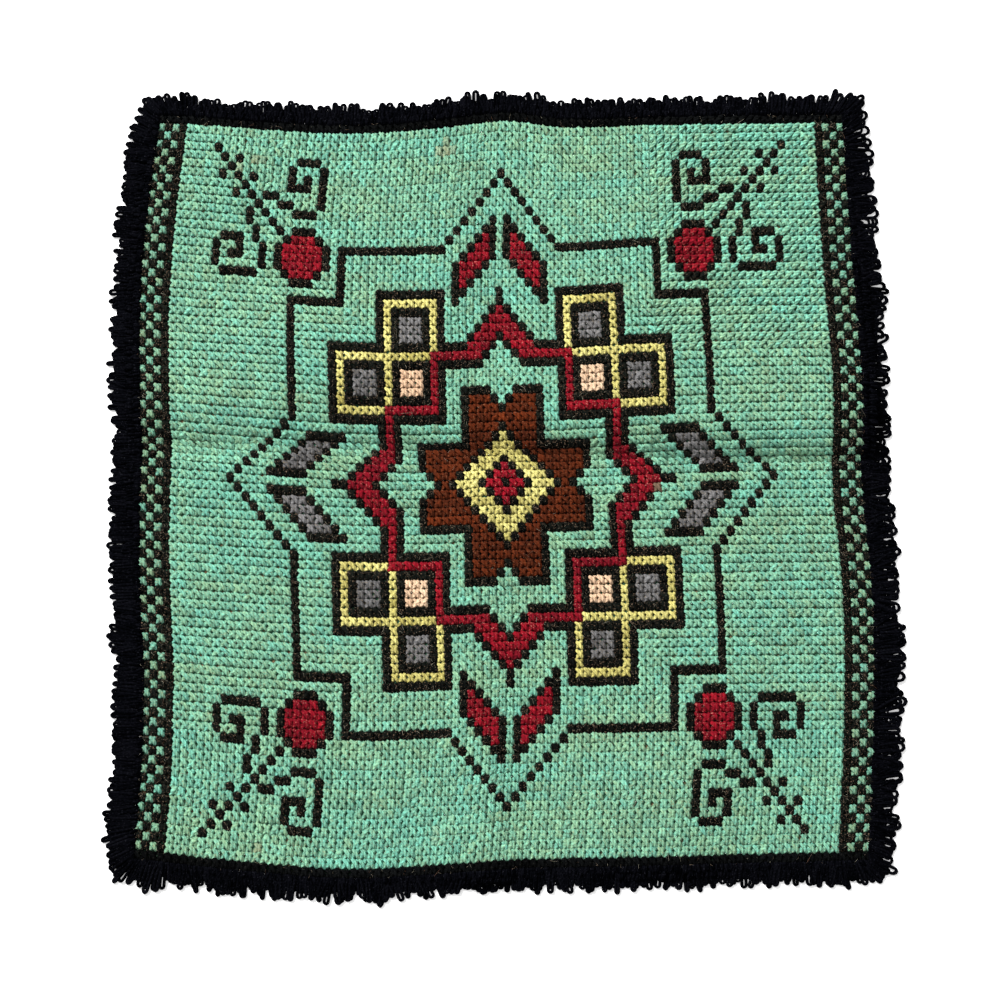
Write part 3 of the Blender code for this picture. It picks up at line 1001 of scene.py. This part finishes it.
class STITCHING_OT_crosses(bpy.types.Operator):
    """Works every cross of the chart, with its back bar, one piece for each wool"""

    bl_idname = "stitching.crosses"
    bl_label = "Wool Crosses"

    def execute(self, context):
        wool, cloth = context.scene.panel_wool, context.scene.panel_cloth
        crosses = Crosses(wool, cloth)
        upper = crosses.rows <= MIDDLE_ROW
        mint, black = crosses.wool == "mint", crosses.wool == "black"
        pieces = [
            ("mint_crosses_upper", "mint", mint & upper),
            ("mint_crosses_lower", "mint", mint & ~upper),
            ("black_crosses", "black", black & ~crosses.in_end_rows),
        ]
        for dye in ("red", "brown", "yellow", "grey", "peach"):
            pieces.append((dye + "_crosses", dye, crosses.wool == dye))
        pieces.append(("end_crosses", "edge", crosses.in_end_rows))
        for name, dye, chosen in pieces:
            obj = joined_mesh(name, cross_batches(crosses, chosen, wool))
            light, dark = getattr(wool, dye + "_light"), getattr(wool, dye + "_dark")
            settle(obj, yarn_material(name + "_wool", dye, light, dark))
        return {"FINISHED"}


def hair_batches(settings, crosses):
    """Stray fibres in a few bows, scattered over the wool and most of them over the black."""
    rng = np.random.default_rng(settings.seed)
    count, full = settings.count, settings.long
    weight = np.where(crosses.wool == "black", 1.0, FIELD_HAIRS)
    weight = np.where(crosses.inside, weight, SIDE_HAIRS * weight)
    weight = np.where(crosses.in_end_rows, END_HAIRS * weight, weight)
    chosen = rng.choice(len(weight), count, p=weight / weight.sum())
    right, up, normal = crosses.right[chosen], crosses.up[chosen], crosses.normal[chosen]
    offset = rng.uniform(-0.5, 0.5, (count, 2, 1))
    at = crosses.surface[chosen] + right * offset[:, 0] + up * offset[:, 1]
    at += normal * rng.uniform(*HAIR_ABOVE, (count, 1)) * MM
    angle = rng.uniform(0, 2 * math.pi, (count, 1))
    out = unit(right) * np.cos(angle) + unit(up) * np.sin(angle)
    side = np.cross(normal, out)
    long = full * rng.gamma(4, 0.25, (count, 1))
    long *= np.where(rng.random((count, 1)) < settings.long_share, LONG_HAIR, 1.0)
    shade = rng.uniform(0, 1, (count, 1)) ** 1.4
    kinds = rng.integers(0, HAIR_KINDS, count)
    t = np.linspace(0, 1, HAIR_POINTS)
    arch = np.sin(np.pi * t)
    half = np.full(HAIR_POINTS, settings.thick / 2)
    batches = []
    for kind in range(HAIR_KINDS):
        bow = rng.uniform(-HAIR_BOW, HAIR_BOW) * MM
        line = np.stack([t * full, bow * arch, HAIR_RISE * arch], axis=1)
        points, faces, uv = tube(line, half, half, HAIR)
        points[:, 0] = points[:, 0] / full - 0.5
        mine = kinds == kind
        copies = stamped((points, faces, uv), at[mine], (out * long)[mine], side[mine], normal[mine])
        batches.append((*copies, {"shade": shade[mine], "stain": 0.0, "depth": 1.0}))
    return batches


class STITCHING_OT_hairs(bpy.types.Operator):
    """Scatters stray fibres over the wool, most of them over the black"""

    bl_idname = "stitching.hairs"
    bl_label = "Stray Fibres"

    def execute(self, context):
        settings = context.scene.panel_hairs
        crosses = Crosses(context.scene.panel_wool, context.scene.panel_cloth)
        hairs = joined_mesh("stray_fibres", hair_batches(settings, crosses))
        wool = yarn_material("fibre_wool", "fibre", settings.light, settings.dark)
        settle(hairs, wool)
        return {"FINISHED"}


class Side:
    """One edge of the cloth, walked clockwise as seen from above."""

    def __init__(self, start, end, outward, loose):
        self.start, self.end, self.outward, self.loose = start, end, outward, loose
        edge = self.root(np.linspace(0, 1, EDGE_SAMPLES))
        self.long = np.linalg.norm(np.diff(edge, axis=0), axis=1).sum()

    def root(self, share):
        """Points of the edge."""
        return place(*(a + (b - a) * share for a, b in zip(self.start, self.end)))

    def fan(self, share):
        """Angle by which the fringe spreads towards the nearer corner, clockwise."""
        from_start = np.maximum(0.0, 1 - share * self.long / FAN_LENGTH)
        from_end = np.maximum(0.0, 1 - (1 - share) * self.long / FAN_LENGTH)
        return FAN_ANGLE * (from_end**FAN_POWER - from_start**FAN_POWER)

    def away(self, angle):
        """Level directions outwards, turned clockwise, and those beside them."""
        c, s = np.cos(angle), np.sin(angle)
        x, y = self.outward
        level = np.zeros_like(angle)
        out = np.stack([x * c + y * s, y * c - x * s, level], axis=-1)
        return out, np.stack([-out[:, 1], out[:, 0], level], axis=1)


def loop_template(rng, thick, wide, height, loose):
    """One uncut loop, straight out and round the tip. Its reach is 1."""
    half = wide * rng.choice(LOOSE_LOOPS if loose > LOOSE_FROM else TIDY_LOOPS) / 2 - thick / 2
    turn = np.linspace(-0.5, 0.5, TIP_POINTS) * math.pi
    tip = [LOOP_LENGTH - half - thick / 2 + half * np.cos(turn), half * np.sin(turn)]
    out = np.array(LOOP_OUT)
    neck = LOOP_NECK * thick
    leg_out = np.stack([out * LOOP_LENGTH, -(neck + (half - neck) * np.clip(out * 1.5, 0, 1))], axis=1)
    line = np.concatenate([leg_out, np.stack(tip, axis=1), leg_out[::-1] * (1, -1)])
    far = line[:, 0] / LOOP_LENGTH
    line[:, 1] += rng.normal(0, LOOP_SWAY) * loose * far**2
    crossing = np.linspace(0, 1, len(line)) * rng.uniform(0.1, 0.6) * thick
    rest = thick * 0.5
    droop = rest + (height - rest) * (1 - far**2) + (CLOTH_TOP - height) * np.exp(-far * 5)
    half_thick = np.full(len(line), thick / 2)
    line = np.column_stack([line, droop + crossing * 0.6])
    points, faces, uv = tube(line, half_thick, half_thick, ONE_STRAND)
    points[:, 0] /= LOOP_LENGTH
    return points, faces, uv


def loop_batches(settings, side, rng):
    """The loops along one side, gathered in clumps."""
    loose, thick = side.loose, settings.yarn_thick
    widths = rng.uniform(*CLUMP_WIDTHS, int(side.long / settings.clump_wide))
    clumps, total = len(widths), widths.sum()
    middles = np.cumsum(widths) / total - widths / total / 2
    reaches = rng.normal(CLUMP_REACH, (0.7 + 0.6 * loose) * MM, clumps)
    tilts = rng.normal(0, math.radians(11) * loose, clumps)
    taper = rng.uniform(0.2, 2.2, clumps) * (1 + loose) * MM
    each = np.rint(settings.loops_a_clump * (1.15 - 0.38 * loose) * widths)
    each = np.maximum(FEWEST_LOOPS, each).astype(int)
    which = np.repeat(np.arange(clumps), each)
    slot = np.concatenate([np.linspace(-0.5, 0.5, n) for n in each])
    share = np.clip(middles[which] + slot * CLUMP_FILL * widths[which] / total, 0.002, 0.998)
    angle = side.fan(share)
    corner = np.abs(angle) / FAN_ANGLE
    spread = slot * math.radians(8 + 22 * loose) + tilts[which]
    spread += rng.normal(0, math.radians(2 + 8 * loose), len(which))
    out, beside = side.away(angle + spread * (1 - 0.5 * corner))
    reach = settings.side_reach if side.outward[0] else settings.end_reach
    long = reach + (settings.corner_reach - reach) * corner + reaches[which]
    long += rng.normal(0, REACH_PLAY, len(which)) - taper[which] * np.abs(2 * slot) ** 3
    underneath = np.arange(len(which)) % 4 > 0
    long -= underneath * rng.uniform(*LOWER_LOOPS, len(which))
    root = side.root(share) * (1, 1, 0) - out * LOOP_ROOT
    kinds = rng.integers(0, LOOP_KINDS, len(which))
    batches = []
    for kind in range(LOOP_KINDS):
        height = thick * (0.5 + 0.45 * (kind % 3))
        template = loop_template(rng, thick, settings.loop_wide, height, loose)
        mine = kinds == kind
        amount = int(mine.sum())
        reaching = out[mine] * (long[mine] + LOOP_ROOT)[:, None]
        upward = np.tile([0.0, 0.0, 1.0], (amount, 1))
        copies = stamped(template, root[mine], reaching, beside[mine], upward)
        batches.append((*copies, {"shade": rng.uniform(0, 1, (amount, 1)), "depth": 1.0, "stain": 0.0}))
    return batches


def heading_batches(side, rng):
    """Two rows of whipped stitches along one side: one over the cloth's edge, one over the loops."""
    count = int(side.long / WHIP_PITCH)
    covered = SIDE_COVER if side.outward[0] else END_COVER
    batches = []
    for inset, long, high in ((-covered, *INNER_WHIPS), OUTER_WHIPS):
        share = (np.arange(count) + 0.5 + rng.uniform(-0.4, 0.4, count)) / count
        out, beside = side.away(side.fan(share) + rng.normal(0, math.radians(12), count))
        whip = leg(WHIP_STATIONS, ONE_STRAND, WHIP_WIDE, WHIP_THICK, high - 1.0 * MM, high, WHIP_BOW)
        beside = beside * rng.normal(1, 0.15, (count, 1))
        up = np.array([0.0, 0.0, 1.0]) * rng.normal(1, 0.10, (count, 1))
        long = long * rng.normal(1, 0.10, (count, 1))
        copies = stamped(whip, side.root(share) + out * (inset + long / 2), out * long, beside, up)
        batches.append((*copies, {"shade": rng.uniform(0, 1, (count, 1)), "depth": 0.9, "stain": 0.0}))
    return batches


class STITCHING_OT_fringe(bpy.types.Operator):
    """Sews the whipped heading and the uncut loops along the four sides"""

    bl_idname = "stitching.fringe"
    bl_label = "Looped Fringe"

    def execute(self, context):
        settings = context.scene.panel_fringe
        rng = np.random.default_rng(settings.seed)
        light, dark = settings.yarn_light, settings.yarn_dark
        material = yarn_material("fringe_wool", "fringe", light, dark, 500.0, 0.25 * MM)
        for node, *facts in SIDES:
            side = Side(*facts)
            batches = loop_batches(settings, side, rng) + heading_batches(side, rng)
            obj = joined_mesh(node.replace("fringe", "loops"), batches)
            settle(obj, material)
            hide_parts(node)
        return {"FINISHED"}


class STITCHING_OT_stage(bpy.types.Operator):
    """Sets the pale floor, the soft light and the camera"""

    bl_idname = "stitching.stage"
    bl_label = "Stage"

    def execute(self, context):
        settings = context.scene.panel_stage
        scene = context.scene
        scene.view_settings.view_transform = "Standard"
        bpy.ops.object.select_all(action="DESELECT")
        bpy.ops.mesh.primitive_plane_add(size=FLOOR_WIDE)
        floor = context.object
        floor.name = "floor"
        pale = (*settings.floor, 1)
        values = {"Base Color": pale, "Roughness": 0.8, "Emission Color": pale}
        values["Emission Strength"] = settings.floor_glow
        floor.data.materials.append(new_material("floor", values)[0])
        room = bpy.data.worlds.new("room")
        room.use_nodes = True
        set_values(room.node_tree.nodes["Background"], {"Color": (1, 1, 1, 1), "Strength": settings.fill})
        scene.world = room
        bpy.ops.object.light_add(type="AREA", location=WINDOW_PLACE)
        key = context.object
        key.name = "window_light"
        key.data.energy = settings.key
        key.data.shape = "DISK"
        key.data.size = WINDOW_WIDE
        key.rotation_euler = (-key.location).to_track_quat("-Z", "Y").to_euler()
        back = np.array([0, -math.cos(settings.elevation), math.sin(settings.elevation)])
        bpy.ops.object.camera_add(
            location=SHIFT + VIEWED + back * settings.distance,
            rotation=(math.pi / 2 - settings.elevation, 0, 0),
        )
        camera = context.object
        camera.name = "camera"
        camera.data.lens = settings.lens
        camera.data.clip_start = 0.01
        scene.camera = camera
        return {"FINISHED"}


class STITCHING_PT_sidebar(bpy.types.Panel):
    """Lists the pieces in the order in which they are worked"""

    bl_idname = "STITCHING_PT_sidebar"
    bl_label = "Cross-Stitch Panel"
    bl_space_type = "VIEW_3D"
    bl_region_type = "UI"
    bl_category = "Stitching"

    def draw(self, context):
        for name, settings, operator in STEPS:
            box = self.layout.box()
            box.operator(operator.bl_idname)
            for key in settings.__annotations__:
                box.prop(getattr(context.scene, name), key)


STEPS = (  # name of the settings, their class, and the operator that reads them
    ("panel_cloth", ClothSettings, STITCHING_OT_canvas),
    ("panel_wool", WoolSettings, STITCHING_OT_crosses),
    ("panel_fringe", FringeSettings, STITCHING_OT_fringe),
    ("panel_hairs", HairSettings, STITCHING_OT_hairs),
    ("panel_stage", StageSettings, STITCHING_OT_stage),
)


def register():
    for name, settings, operator in STEPS:
        bpy.utils.register_class(settings)
        bpy.utils.register_class(operator)
        setattr(bpy.types.Scene, name, bpy.props.PointerProperty(type=settings))
    bpy.utils.register_class(STITCHING_PT_sidebar)


def unregister():
    bpy.utils.unregister_class(STITCHING_PT_sidebar)
    for name, settings, operator in reversed(STEPS):
        delattr(bpy.types.Scene, name)
        bpy.utils.unregister_class(operator)
        bpy.utils.unregister_class(settings)


def declare_cloth():
    """Gathers the crosses, the stray fibres and the loops worked on the canvas into a list, and does
    nothing more with them.
    """
    worked = [o for o in bpy.context.scene.objects if "_crosses" in o.name]
    worked += [bpy.data.objects["stray_fibres"]]
    worked += [bpy.data.objects[name.replace("fringe", "loops")] for name, *_ in SIDES]


def main():
    register()
    bpy.ops.stitching.canvas()
    bpy.ops.stitching.crosses()
    bpy.ops.stitching.fringe()
    bpy.ops.stitching.hairs()
    declare_cloth()
    bpy.ops.stitching.stage()


if __name__ == "__main__":
    main()
